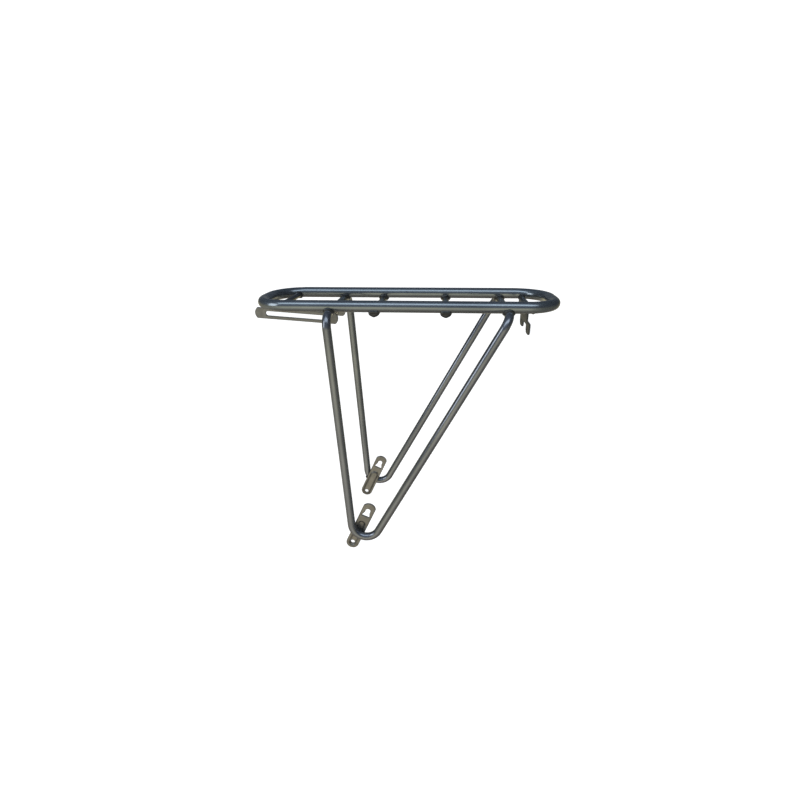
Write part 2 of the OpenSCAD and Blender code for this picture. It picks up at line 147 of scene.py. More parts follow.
class Nodes:
    """A short way to build a node tree."""

    def __init__(self, name):
        self.material = bpy.data.materials.new(name)
        self.material.use_nodes = True
        self.tree = self.material.node_tree
        self.shader = self.tree.nodes["Principled BSDF"]
        self.place = self.tree.nodes.new("ShaderNodeTexCoord").outputs["Object"]

    def add(self, kind, **values):
        node = self.tree.nodes.new("ShaderNode" + kind)
        for key, value in values.items():
            if key in node.inputs:
                node.inputs[key].default_value = value
            else:
                setattr(node, key, value)
        return node

    def link(self, a, b):
        self.tree.links.new(a, b)

    def noise(self, scale, detail=3.0, rough=0.5, stretch=None):
        node = self.add("TexNoise", Scale=scale, Detail=detail, Roughness=rough)
        source = self.place
        if stretch:
            mapping = self.add("Mapping", Scale=stretch)
            self.link(source, mapping.inputs["Vector"])
            source = mapping.outputs["Vector"]
        self.link(source, node.inputs["Vector"])
        return node.outputs["Fac"]

    def ramp(self, fac, stops):
        node = self.add("ValToRGB")
        shades(node.color_ramp, stops)
        self.link(fac, node.inputs["Fac"])
        return node.outputs["Color"]

    def span(self, fac, low, high, start=0.0, end=1.0):
        node = self.add("MapRange", clamp=True)
        node.inputs["From Min"].default_value = start
        node.inputs["From Max"].default_value = end
        node.inputs["To Min"].default_value = low
        node.inputs["To Max"].default_value = high
        self.link(fac, node.inputs["Value"])
        return node.outputs["Result"]

    def mix(self, fac, a, b, blend="MIX"):
        node = self.add("Mix", data_type="RGBA", blend_type=blend)
        for value, key in ((fac, 0), (a, 6), (b, 7)):
            if isinstance(value, bpy.types.NodeSocket):
                self.link(value, node.inputs[key])
            else:
                node.inputs[key].default_value = value if key == 0 else (*value, 1)
        return node.outputs[2]

    def maths(self, kind, a, b):
        node = self.add("Math", operation=kind)
        for i, value in enumerate((a, b)):
            if isinstance(value, bpy.types.NodeSocket):
                self.link(value, node.inputs[i])
            else:
                node.inputs[i].default_value = value
        return node.outputs[0]

    def bump(self, height, strength, distance, after=None):
        node = self.add("Bump", Strength=strength, Distance=distance)
        self.link(height, node.inputs["Height"])
        if after is not None:
            self.link(after, node.inputs["Normal"])
        return node.outputs["Normal"]

    def give(self, socket, value):
        if isinstance(value, bpy.types.NodeSocket):
            self.link(value, self.shader.inputs[socket])
        else:
            self.shader.inputs[socket].default_value = value


def metallic_paint(name, deep, light, metallic, rough, coat, wear=0.35, peel=0.35, bead=False):
    """Gloss metallic paint: flakes, orange peel, drifts of shade, fine scratches and worn edges."""
    n = Nodes(name)
    drift = n.noise(14, 3, 0.55)
    colour = n.ramp(drift, [(0.35, deep), (0.65, light)])
    flakes = n.add("TexVoronoi", Scale=2600, feature="F1")
    n.link(n.place, flakes.inputs["Vector"])
    sparkle = n.span(flakes.outputs["Distance"], 0.95, 1.07)
    tint = n.add("CombineColor")
    for key in ("Red", "Green", "Blue"):
        n.link(sparkle, tint.inputs[key])
    colour = n.mix(1.0, colour, tint.outputs[0], "MULTIPLY")
    scuffs = n.span(n.noise(60, 6, 0.7, (1.0, 1.0, 0.35)), 0, 1, 0.62, 0.78)
    edge = n.add("NewGeometry").outputs["Pointiness"]
    worn = n.span(edge, 0, wear, 0.53, 0.6)
    mask = n.maths("MULTIPLY", worn, n.span(n.noise(240, 4, 0.6), 0, 1, 0.4, 0.6))
    mask = n.maths("MAXIMUM", mask, n.maths("MULTIPLY", scuffs, 0.1))
    colour = n.mix(mask, colour, (0.3, 0.3, 0.29))
    n.give("Base Color", colour)
    n.give("Metallic", metallic)
    n.give("Coat Weight", coat)
    n.give("Coat Roughness", 0.07)
    smear = n.span(n.noise(32, 4, 0.6), rough * 0.82, rough * 1.2, 0.3, 0.7)
    n.give("Roughness", n.maths("ADD", smear, n.maths("MULTIPLY", scuffs, 0.12)))
    normal = n.bump(n.noise(420, 2, 0.4), peel * 0.07, 0.0003)
    normal = n.bump(flakes.outputs["Distance"], 0.02, 0.0001, normal)
    if bead:
        normal = n.bump(n.noise(900, 5, 0.65), 0.35, 0.0005, normal)
    n.give("Normal", normal)
    return n.material


def stamped_metal(name, deep, light, rough, grain, metallic=0.78, coat=0.2):
    """Satin metallic finish on stamped sheet: rolling grain, handling marks and painted shade darkening the
    rounded edges.
    """
    n = Nodes(name)
    drift = n.noise(45, 5, 0.6)
    middle = tuple((a + b) / 2 for a, b in zip(deep, light))
    colour = n.ramp(drift, [(0.3, deep), (0.5, middle), (0.7, light)])
    lines = n.noise(1400, 3, 0.6, grain)
    colour = n.mix(n.span(lines, 0, 0.35, 0.4, 0.75), colour, tuple(c * 1.35 for c in light))
    grime = n.span(n.noise(150, 6, 0.7), 0, 0.55, 0.52, 0.75)
    colour = n.mix(grime, colour, tuple(c * 0.5 for c in deep))
    edge = n.add("NewGeometry").outputs["Pointiness"]
    patchy = n.span(n.noise(380, 4, 0.6), 0.35, 1, 0.35, 0.6)
    # Painted shade: the rounded edges are darkened in the base colour, broken up by noise.
    painted_edge_shade = n.maths("MULTIPLY", n.span(edge, 0, 0.85, 0.51, 0.55), patchy)
    colour = n.mix(painted_edge_shade, colour, tuple(c * 0.42 for c in deep))
    n.give("Base Color", colour)
    n.give("Metallic", metallic)
    n.give("Coat Weight", coat)
    n.give("Coat Roughness", 0.2)
    satin = n.span(lines, rough * 0.85, rough * 1.15)
    n.give("Roughness", n.maths("ADD", satin, n.maths("MULTIPLY", grime, 0.18)))
    normal = n.bump(lines, 0.16, 0.0002)
    normal = n.bump(n.noise(260, 3, 0.5), 0.12, 0.0006, normal)
    n.give("Normal", normal)
    return n.material


def zinc_plate(name):
    """Bright zinc on bolts, washers and nuts, with a faint blue and yellow cast and fine turning marks."""
    n = Nodes(name)
    cast = n.noise(160, 4, 0.6)
    colour = n.ramp(cast, [(0.3, (0.52, 0.55, 0.6)), (0.5, (0.66, 0.66, 0.65)), (0.72, (0.68, 0.62, 0.48))])
    marks = n.noise(2200, 4, 0.6, (1.0, 0.08, 1.0))
    colour = n.mix(n.span(marks, 0, 0.35, 0.35, 0.75), colour, (0.3, 0.3, 0.3))
    n.give("Base Color", colour)
    n.give("Metallic", 1.0)
    n.give("Roughness", n.span(marks, 0.24, 0.42))
    n.give("Normal", n.bump(marks, 0.2, 0.0002))
    return n.material


LOOP_PAINT = metallic_paint("loop_paint", (0.135, 0.16, 0.185), (0.17, 0.198, 0.225), 0.88, 0.22, 0.5,
                            peel=0.3)
# A near-black copy of the frame paint: painted shade for the cross tubes under the deck.
SHADED_CROSS_PAINT = metallic_paint("cross_tube_paint", (0.014, 0.018, 0.021), (0.024, 0.028, 0.031), 0.7, 0.28,
                             0.4)
LEG_PAINT = metallic_paint("leg_paint", (0.132, 0.146, 0.176), (0.172, 0.188, 0.22), 0.88, 0.22, 0.5)
# A near-black copy of the frame paint: painted shade in the weld joints.
SHADED_WELD_PAINT = metallic_paint("weld_paint", (0.014, 0.018, 0.022), (0.026, 0.03, 0.034), 0.6, 0.34, 0.35,
                            wear=0.1, peel=0.6, bead=True)
BRACKET_METAL = stamped_metal("bracket_metal", (0.13, 0.128, 0.12), (0.215, 0.21, 0.195), 0.36,
                              grain=(1.0, 1.0, 0.1))
STAY_METAL = stamped_metal("stay_metal", (0.115, 0.118, 0.122), (0.165, 0.168, 0.172), 0.36,
                           grain=(0.1, 1.0, 1.0))
LAMP_METAL = stamped_metal("lamp_bracket_metal", (0.03, 0.033, 0.034), (0.055, 0.058, 0.058), 0.5,
                           grain=(1.0, 0.1, 1.0), metallic=0.3, coat=0.0)
ZINC = zinc_plate("fastener_zinc")


# ---------------------------------------------------------------- mesh helpers
def add_piece(name, verts, faces, material, body="rack", replaces=()):
    """A new smooth-shaded piece from millimetre points, riding on a body."""
    mesh = bpy.data.meshes.new(name)
    points = [tuple(np.asarray(v, float) * MM) for v in verts]
    mesh.from_pydata(points, [], [tuple(map(int, f)) for f in faces])
    work = bmesh.new()
    work.from_mesh(mesh)
    bmesh.ops.remove_doubles(work, verts=work.verts, dist=1e-7)
    bmesh.ops.recalc_face_normals(work, faces=work.faces)
    work.to_mesh(mesh)
    work.free()
    mesh.shade_smooth()
    mesh.materials.append(material)
    piece = bpy.data.objects.new(name, mesh)
    collection.objects.link(piece)
    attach(piece, body)
    if replaces:
        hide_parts(*replaces)
    return piece


def join(parts):
    """Several (verts, faces) meshes as one."""
    verts, faces = [], []
    for v, f in parts:
        start = len(verts)
        verts.extend(list(v))
        faces.extend([tuple(i + start for i in face) for face in f])
    return verts, faces


def ring_faces(rings, around, closed=False):
    """Quads between rings of points, one after the other."""
    faces = []
    last = rings if closed else rings - 1
    for i in range(last):
        a, b = i * around, (i + 1) % rings * around
        for j in range(around):
            k = (j + 1) % around
            faces.append((a + j, a + k, b + k, b + j))
    return faces


def unit(v):
    v = np.asarray(v, float)
    return v / np.linalg.norm(v)


def across(way):
    """Two directions square to way."""
    other = np.array([0.0, 0.0, 1.0]) if abs(way[2]) < 0.9 else np.array([1.0, 0.0, 0.0])
    a = unit(np.cross(other, way))
    return a, np.cross(way, a)


def lathe(profile, origin, way, around=48):
    """Turns (distance along, radius) pairs round an axis. A radius of 0 closes an end."""
    a, b = across(unit(way))
    turns = np.linspace(0, 2 * math.pi, around, endpoint=False)
    circle = np.outer(np.cos(turns), a) + np.outer(np.sin(turns), b)
    verts = []
    for along, radius in profile:
        verts.extend(np.asarray(origin, float) + unit(way) * along + circle * radius)
    return verts, ring_faces(len(profile), around)


def sweep(points, radius, around=40, closed=False, squeeze=None):
    """A round tube or bead along a line of points. radius is a number or one for each point."""
    points = np.asarray(points, float)
    count = len(points)
    radii = np.full(count, radius, float) if np.isscalar(radius) else np.asarray(radius, float)
    if closed:
        ways = np.roll(points, -1, 0) - np.roll(points, 1, 0)
    else:
        ways = np.gradient(points, axis=0)
    ways /= np.linalg.norm(ways, axis=1)[:, None]
    side, _ = across(ways[0])
    sides = []
    for way in ways:
        side = unit(side - way * side.dot(way))
        sides.append(side)
    sides = np.array(sides)
    if closed:
        carried = unit(sides[-1] - ways[0] * sides[-1].dot(ways[0]))
        twist = math.atan2(np.cross(carried, sides[0]).dot(ways[0]), carried.dot(sides[0]))
        for i in range(count):
            turn = twist * i / count
            other = np.cross(ways[i], sides[i])
            sides[i] = sides[i] * math.cos(turn) + other * math.sin(turn)
    turns = np.linspace(0, 2 * math.pi, around, endpoint=False)
    verts = []
    for i in range(count):
        other = np.cross(ways[i], sides[i])
        flat = 1.0 if squeeze is None else squeeze[i]
        ring = np.outer(np.cos(turns), sides[i]) + np.outer(np.sin(turns), other) * flat
        verts.extend(points[i] + ring * radii[i])
    faces = ring_faces(count, around, closed)
    if not closed:
        faces.append(tuple(range(around))[::-1])
        faces.append(tuple((count - 1) * around + j for j in range(around)))
    return verts, faces


def bent_line(corners, radii, step=2.5, straight=12.0):
    """Points along a polyline whose inner corners are rounded, closer together in the bends."""
    corners = [np.asarray(c, float) for c in corners]
    ways = [unit(b - a) for a, b in zip(corners, corners[1:])]
    line = [corners[0]]
    for i in range(1, len(corners) - 1):
        turn = math.acos(float(np.clip(ways[i - 1].dot(ways[i]), -1, 1)))
        trim = radii[i - 1] * math.tan(turn / 2)
        start = corners[i] - ways[i - 1] * trim
        normal = unit(np.cross(ways[i - 1], ways[i]))
        inward = np.cross(normal, ways[i - 1])
        centre = start + inward * radii[i - 1]
        fill(line, start, straight)
        pieces = max(4, int(math.degrees(turn) / step))
        for k in range(1, pieces + 1):
            angle = turn * k / pieces
            line.append(centre - inward * radii[i - 1] * math.cos(angle)
                        + ways[i - 1] * radii[i - 1] * math.sin(angle))
    fill(line, corners[-1], straight)
    return np.array(line)


def fill(line, end, spacing):
    """Adds evenly spaced points from the line's last point to end."""
    start = line[-1]
    count = max(1, int(np.linalg.norm(end - start) / spacing))
    for k in range(1, count + 1):
        line.append(start + (end - start) * k / count)


def resampled(points, spacing, closed=False):
    points = np.asarray(points, float)
    if closed:
        points = np.vstack([points, points[:1]])
    steps = np.linalg.norm(np.diff(points, axis=0), axis=1)
    distance = np.concatenate([[0], np.cumsum(steps)])
    count = max(8, int(distance[-1] / spacing))
    at = np.linspace(0, distance[-1], count, endpoint=not closed)
    return np.stack([np.interp(at, distance, points[:, i]) for i in range(points.shape[1])], 1)


def weld_bead(points, radius, closed=False, pitch=1.7, phase=0.0):
    """A run of weld metal: overlapping scales, a little uneven in width."""
    line = resampled(points, 0.38, closed)
    steps = np.linalg.norm(np.diff(line, axis=0), axis=1)
    distance = np.concatenate([[0], np.cumsum(steps)])
    total = distance[-1] + (steps[-1] if closed else 0)
    scales = max(4, round(total / pitch))
    t = distance / total
    scale = (t * scales + phase) % 1.0
    ripple = 1 + 0.1 * np.sqrt(np.clip(1 - (scale * 2 - 1) ** 2, 0, 1)) - 0.05
    drift = (1 + 0.05 * np.sin(2 * math.pi * (3 * t + phase))
             + 0.03 * np.sin(2 * math.pi * (7 * t + 2.3 * phase)))
    radii = radius * ripple * drift
    if not closed:
        ends = np.clip(np.minimum(distance, total - distance) / (radius * 1.1), 0, 1)
        radii = radii * np.sqrt(np.clip(1 - (1 - ends) ** 2, 0.02, 1))
    return sweep(line, radii, 18, closed)


def weld_cap(centre, radii, around=48):
    """A smooth flattened ball of weld metal round a tube's end."""
    profile = [(-math.cos(a), max(math.sin(a), AXIS)) for a in np.radians(np.arange(0, 181, 9))]
    verts, faces = lathe(profile, (0, 0, 0), (0, 1, 0), around)
    return list(np.asarray(verts) * radii + np.asarray(centre, float)), faces


# ---------------------------------------------------------------- stamped sheets
def inside(points, loop):
    x, y = points[:, 0][:, None], points[:, 1][:, None]
    x0, y0 = loop[:, 0][None], loop[:, 1][None]
    x1, y1 = np.roll(loop[:, 0], -1)[None], np.roll(loop[:, 1], -1)[None]
    crosses = (y0 > y) != (y1 > y)
    at = x0 + (y - y0) / np.where(np.abs(y1 - y0) < 1e-12, 1e-12, y1 - y0) * (x1 - x0)
    return (crosses & (x < at)).sum(1) % 2 == 1


def sheet_mesh(outer, holes, thickness, edge, surface, spacing=1.1):
    """A closed stamped sheet with rounded edges. surface takes flat points to points in space."""
    rounds = np.array([0.0, 0.1, 0.32, 0.62, 1.0]) * edge
    flat, drop, links = [], [], []
    loops = []
    for index, raw in enumerate([outer] + list(holes)):
        loop = resampled(raw, 0.55, True)
        x, y = loop.T
        if np.sum(x * np.roll(y, -1) - np.roll(x, -1) * y) < 0:
            loop = loop[::-1]
        loops.append(loop)
        way = np.roll(loop, -1, 0) - np.roll(loop, 1, 0)
        way /= np.linalg.norm(way, axis=1)[:, None]
        inward = np.stack([-way[:, 1], way[:, 0]], 1) * (1 if index == 0 else -1)
        for offset in rounds:
            start = len(flat)
            ring = loop + inward * offset
            flat.extend(ring)
            drop.extend([edge - math.sqrt(max(edge ** 2 - (edge - offset) ** 2, 0))] * len(ring))
            links.extend((start + i, start + (i + 1) % len(ring)) for i in range(len(ring)))
    low, high = loops[0].min(0), loops[0].max(0)
    grid = []
    row = 0
    y = low[1] + spacing / 2
    while y < high[1]:
        x = low[0] + (spacing / 2 if row % 2 else spacing)
        while x < high[0]:
            grid.append((x, y))
            x += spacing
        y += spacing * 0.866
        row += 1
    grid = np.array(grid)
    keep = inside(grid, loops[0])
    for loop in loops[1:]:
        keep &= ~inside(grid, loop)
    for loop in loops:
        near = np.sqrt(((grid[:, None] - loop[None]) ** 2).sum(2)).min(1)
        keep &= near > edge + spacing * 0.4
    flat.extend(grid[keep])
    drop.extend([0.0] * int(keep.sum()))
    points, _, triangles, origins, _, _ = geometry.delaunay_2d_cdt(
        [Vector(p) for p in flat], links, [], 0, 1e-6
    )
    points = np.array([tuple(p) for p in points])
    drops = np.array([drop[o[0]] if o else edge for o in origins])
    triangles = np.array([t for t in triangles if len(t) == 3])
    middles = points[triangles].mean(1)
    keep = inside(middles, loops[0])
    for loop in loops[1:]:
        keep &= ~inside(middles, loop)
    triangles = triangles[keep]
    used, triangles = np.unique(triangles, return_inverse=True)
    triangles = triangles.reshape(-1, 3)
    points, drops = points[used], drops[used]
    place, small = surface(points), 0.05
    along = surface(points + (small, 0)) - surface(points - (small, 0))
    over = surface(points + (0, small)) - surface(points - (0, small))
    normals = np.cross(along, over)
    normals /= np.linalg.norm(normals, axis=1)[:, None]
    half = (thickness / 2 - drops)[:, None]
    verts = np.vstack([place + normals * half, place - normals * half])
    count = len(points)
    faces = [tuple(t) for t in triangles] + [tuple(t[::-1] + count) for t in triangles]
    seen = {}
    for t in triangles:
        for a, b in ((t[0], t[1]), (t[1], t[2]), (t[2], t[0])):
            seen[(a, b)] = True
    faces += [(b, a, a + count, b + count) for a, b in seen if (b, a) not in seen]
    return verts, faces


def arc(centre, radius, first, last, step=6.0):
    count = max(2, int(abs(last - first) / step) + 1)
    angles = np.radians(np.linspace(first, last, count))
    return [(centre[0] + radius * math.cos(a), centre[1] + radius * math.sin(a)) for a in angles]


def slot_outline(x0, x1, width):
    r = width / 2
    return arc((x1 - r, 0), r, -90, 90) + arc((x0 + r, 0), r, 90, 270)


def round_hole(centre, radius):
    return arc(centre, radius, 0, 352, 8)


def eased(t):
    t = np.clip(t, 0, 1)
    return t * t * (3 - 2 * t)


# ---------------------------------------------------------------- the tubes
def loop_line():
    corners = [(REAR_X, RAIL_Y), (FRONT_X, RAIL_Y), (FRONT_X, -RAIL_Y), (REAR_X, -RAIL_Y)]
    line = []
    for i, (x, y) in enumerate(corners):
        cx, cy = x - math.copysign(CORNER_R, x - (FRONT_X + REAR_X) / 2), y - math.copysign(CORNER_R, y)
        for k in range(31):
            a = math.radians(i * 90 + 3 * k)
            line.append((cx + CORNER_R * math.cos(a), cy + CORNER_R * math.sin(a), DECK_Z))
        nxt = corners[(i + 1) % 4]
        ncx = nxt[0] - math.copysign(CORNER_R, nxt[0] - (FRONT_X + REAR_X) / 2)
        ncy = nxt[1] - math.copysign(CORNER_R, nxt[1])
        a = math.radians(i * 90 + 90)
        end = np.array((ncx + CORNER_R * math.cos(a), ncy + CORNER_R * math.sin(a), DECK_Z))
        start = np.array(line[-1])
        count = max(2, int(np.linalg.norm(end - start) / 14))
        line.extend(start + (end - start) * j / count for j in range(1, count))
    return np.array(line)


def make_loop():
    line = loop_line()
    x, y = line[:, 0], line[:, 1]
    in_bend = np.minimum(np.clip(np.maximum(FRONT_X + CORNER_R - x, x - REAR_X + CORNER_R) / 12, 0, 1),
                         np.clip((np.abs(y) - CORNER_Y) / 12, 0, 1))
    squeeze = 1 - 0.022 * in_bend
    verts, faces = sweep(line, RAIL_R, 56, True, squeeze)
    piece = add_piece("top_loop_tube", verts, faces, LOOP_PAINT, replaces=("top_loop",))
    for x in (FRONT_X, REAR_X):
        bpy.ops.mesh.primitive_cylinder_add(vertices=32, radius=2 * MM, depth=6 * MM,
                                            location=(x * MM, 0, (DECK_Z - RAIL_R) * MM))
        cutter = bpy.context.object
        cut = piece.modifiers.new("vent", "BOOLEAN")
        cut.operation, cut.object, cut.solver = "DIFFERENCE", cutter, "EXACT"
        bpy.context.view_layer.objects.active = piece
        bpy.ops.object.modifier_apply(modifier=cut.name)
        bpy.data.objects.remove(cutter)
    return piece


def rail_distance(x, y):
    """Distance in the deck's plane from the loop's centre line, at points outside or inside it."""
    x, y = np.abs(np.asarray(x, float) - (FRONT_X + REAR_X) / 2), np.abs(np.asarray(y, float))
    cx, cy = (REAR_X - FRONT_X) / 2 - CORNER_R, CORNER_Y
    qx, qy = x - cx, y - cy
    out = np.hypot(np.maximum(qx, 0), np.maximum(qy, 0)) + np.minimum(np.maximum(qx, qy), 0) - CORNER_R
    return np.abs(out)


def crossing(x):
    into = max(FRONT_X + CORNER_R - x, x - REAR_X + CORNER_R, 0)
    return CORNER_Y + math.sqrt(CORNER_R ** 2 - into ** 2)


def domed_tube(name, x, z, radius, half, material, node):
    """A cross tube whose ends are closed and softly rounded under the paint."""
    turns = np.radians(np.arange(0, 91, 10))
    end = [(-half - 0.9 + 1.9 * (1 - math.cos(a)), max(radius * math.sin(a), AXIS)) for a in turns]
    profile = end + [(y, radius) for y in np.linspace(-half + 4, half - 4, 9)]
    profile += [(-y, r) for y, r in end[::-1]]
    verts, faces = lathe(profile, (x, 0, z), (0, 1, 0))
    return add_piece(name, verts, faces, material, replaces=(node,))


def closed_tube(name, x, z, radius, half, material, node):
    profile = [(-half, AXIS), (-half, radius)] + [(y, radius) for y in np.linspace(-half + 3, half - 3, 9)]
    profile += [(half, radius), (half, AXIS)]
    verts, faces = lathe(profile, (x, 0, z), (0, 1, 0))
    return add_piece(name, verts, faces, material, replaces=(node,))


def saddle(x0, z0, radius, y_end=None, side=1):
    """The line where a cross tube's skin meets a rail's skin, in space."""
    drop = DECK_Z - z0
    low = math.asin(min(1.0, (drop - RAIL_R) / radius + 0.02))
    turns = np.linspace(low, math.pi - low, 60)
    middle = crossing(x0)
    inner, outer = [], []
    for turn in turns:
        x, z = x0 + radius * math.cos(turn), z0 + radius * math.sin(turn)
        reach = math.sqrt(max(RAIL_R ** 2 - (z - DECK_Z) ** 2, 0))
        y = np.linspace(0, middle, 400)
        hit = y[np.argmax(rail_distance(x, y) <= reach)] if reach > 0 else middle
        inner.append((x, hit, z))
        y = np.linspace(middle + 14, middle, 300)
        hit = y[np.argmax(rail_distance(x, y) <= reach)]
        if y_end is not None and hit > y_end:
            away = min(float(rail_distance(x, y_end)), RAIL_R - 0.01)
            outer.append((x, y_end, DECK_Z - math.sqrt(RAIL_R ** 2 - away ** 2)))
        else:
            outer.append((x, hit, z))
    line = np.array(inner + outer[::-1])
    line[:, 1] *= side
    return line


def inner_bar_saddle(x0, z0, radius, side):
    line = []
    for turn in np.linspace(0, 2 * math.pi, 90, endpoint=False):
        x, z = x0 + radius * math.cos(turn), z0 + radius * math.sin(turn)
        reach = math.sqrt(max(RAIL_R ** 2 - (z - DECK_Z) ** 2, 0))
        y = np.linspace(0, crossing(x0), 500)
        line.append((x, side * y[np.argmax(rail_distance(x, y) <= reach)], z))
    return np.array(line)


BARS = [("front_leg_bar", LEG_R), ("deck_bar_1", BAR_R), ("deck_bar_2", BAR_R), ("rear_leg_bar", LEG_R)]
INNER_BARS = ("front_bar", "lamp_bar")


def inner_bar(name):
    """Place, height and radius of a cross tube that ends against the loop's inner sides."""
    radius = node_size(name).x / 2
    return node_middle(name).x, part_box(name)[0].z / MM + radius, radius


def make_cross_tubes():
    for name, radius in BARS:
        x = node_middle(name).x
        half = node_size(name).y / 2
        if radius == LEG_R:
            closed_tube(name + "_tube", x, BAR_Z, radius, half, SHADED_CROSS_PAINT, name)
        else:
            domed_tube(name + "_tube", x, BAR_Z, radius, half, SHADED_CROSS_PAINT, name)
    for name in INNER_BARS:
        x, z, radius = inner_bar(name)
        closed_tube(name + "_tube", x, z, radius, crossing(x) - 3, SHADED_CROSS_PAINT, name)


def make_rail_welds():
    for side, word in ((-1, "left"), (1, "right")):
        parts = []
        for index, (name, radius) in enumerate(BARS):
            x = node_middle(name).x
            y_end = node_size(name).y / 2 if radius == BAR_R else None
            line = saddle(x, BAR_Z, radius, y_end, side)
            parts.append(weld_bead(line, 2.9 if y_end else 2.5, True, phase=0.17 * index))
            if y_end:
                parts.append(weld_cap((x, side * (y_end - 2.2), BAR_Z + 0.7), (7.6, 3.4, 5.4)))
        for name in INNER_BARS:
            parts.append(weld_bead(inner_bar_saddle(*inner_bar(name), side), 2.0, True, phase=0.6))
        verts, faces = join(parts)
        add_piece(f"rail_weld_beads_{word}", verts, faces, SHADED_WELD_PAINT,
                  replaces=(f"rail_welds_{word}",))


def make_legs():
    for side, word in ((-1, "left"), (1, "right")):
        corners = [(FRONT_LEG_X, side * RAIL_Y, BAR_Z), (FRONT_LEG_X, side * LEG_Y, BAR_Z),
                   (VERTEX[0], side * LEG_Y, VERTEX[1]), (REAR_LEG_X, side * LEG_Y, BAR_Z),
                   (REAR_LEG_X, side * RAIL_Y, BAR_Z)]
        line = bent_line(corners, [SHOULDER_R, FOOT_R, SHOULDER_R])
        verts, faces = sweep(line, LEG_R, 48)
        add_piece(f"leg_tube_{word}", verts, faces, LEG_PAINT, replaces=(f"leg_{word}",))


# ---------------------------------------------------------------- the stamped parts
def tilted(origin, lean, y_at):
    """Flat points (u, v) to space, with u along a line leaned about Y and v square to it."""
    u_way = np.array([math.cos(lean), 0, -math.sin(lean)])
    v_way = np.array([math.sin(lean), 0, math.cos(lean)])

    def surface(points):
        points = np.asarray(points, float)
        y = y_at(points)
        place = np.outer(points[:, 0], u_way) + np.outer(points[:, 1], v_way) + np.asarray(origin, float)
        place[:, 1] += y
        return place
    return surface


def bracket_outline():
    half, top_r = BRACKET_W / 2, BRACKET_W * 0.55
    rim = math.degrees(math.asin(half / top_r))
    top = arc((0, BRACKET_LEN - top_r), top_r, 90 - rim, 90 + rim, 4)
    return arc((0, 0), half, 180, 360, 5) + top


def window_outline(base):
    """Bell shape: a wide flat lower edge under a round top."""
    flank = [(6, 0.5), (5.7, 2), (5.2, 3.5), (4.4, 5.3), (3.85, 7.2), (3.75, 8.2)]
    right = [(u, base + v) for u, v in flank]
    left = [(-u, base + v) for u, v in flank[::-1]]
    return [(-5.6, base), (5.6, base)] + right + arc((0, base + 10.6), 3.75, 0, 180, 9) + left


def make_axle_brackets():
    for side, word in ((-1, "left"), (1, "right")):
        def pressed(points, side=side):
            v = np.clip(points[:, 1], -0.75, 38.75)
            away = np.hypot(points[:, 0], points[:, 1] - v)
            return side * (BRACKET_Y - BRACKET_T / 2 - 1.95 * eased((6.6 - away) / 2.6))
        surface = tilted((0, 0, 0), BRACKET_LEAN, pressed)
        holes = [round_hole((0, 0), EYELET_R), window_outline(WINDOW_BASE)]
        verts, faces = sheet_mesh(bracket_outline(), holes, BRACKET_T, 1.1, surface, 0.9)
        add_piece(f"axle_bracket_plate_{word}", verts, faces, BRACKET_METAL,
                  replaces=(f"axle_bracket_{word}",))


def make_bracket_welds():
    half_fork = (FRONT_LEAN + REAR_LEAN) / 2
    foot_lean = (REAR_LEAN - FRONT_LEAN) / 2
    rise = FOOT_R / math.sin(half_fork)
    foot = np.array([VERTEX[0] + rise * math.sin(foot_lean), 0, VERTEX[1] + rise * math.cos(foot_lean)])
    u_way = np.array([math.cos(BRACKET_LEAN), 0, -math.sin(BRACKET_LEAN)])
    v_way = np.array([math.sin(BRACKET_LEAN), 0, math.cos(BRACKET_LEAN)])
    parts = []
    for side in (-1, 1):
        for offset, first, span in ((-4.4, 222, 50), (4.4, 228, 40)):
            angles = np.radians(np.linspace(first, first + span, 60))
            turn = np.outer(np.cos(angles), u_way) + np.outer(np.sin(angles), v_way)
            line = foot + (FOOT_R + offset) * turn
            line[:, 1] = side * (BRACKET_Y + 0.8)
            parts.append(weld_bead(line, 1.9, phase=0.3 * side))
    verts, faces = join(parts)
    add_piece("axle_bracket_weld_beads", verts, faces, SHADED_WELD_PAINT,
              replaces=("axle_bracket_welds",))


def stay_surface(y):
    return tilted((FRONT_LEG_X, 0, STAY_Z), STAY_TILT, lambda points: np.full(len(points), y))


def make_stays():
    end_r = STAY_W * 0.65
    rim = math.degrees(math.asin(STAY_W / 2 / end_r))
    outline = (arc((STAY_REAR - end_r, 0), end_r, -rim, rim, 4)
               + arc((end_r - STAY_AHEAD, 0), end_r, 180 - rim, 180 + rim, 4))
    holes = [slot_outline(SLOT_FRONT, SLOT_REAR, SLOT_W)]
    for side, word in ((-1, "left"), (1, "right")):
        verts, faces = sheet_mesh(outline, holes, STAY_T, 0.6, stay_surface(side * STAY_Y), 1.3)
        add_piece(f"front_stay_strip_{word}", verts, faces, STAY_METAL, f"stay_{word}",
                  (f"front_stay_{word}",))


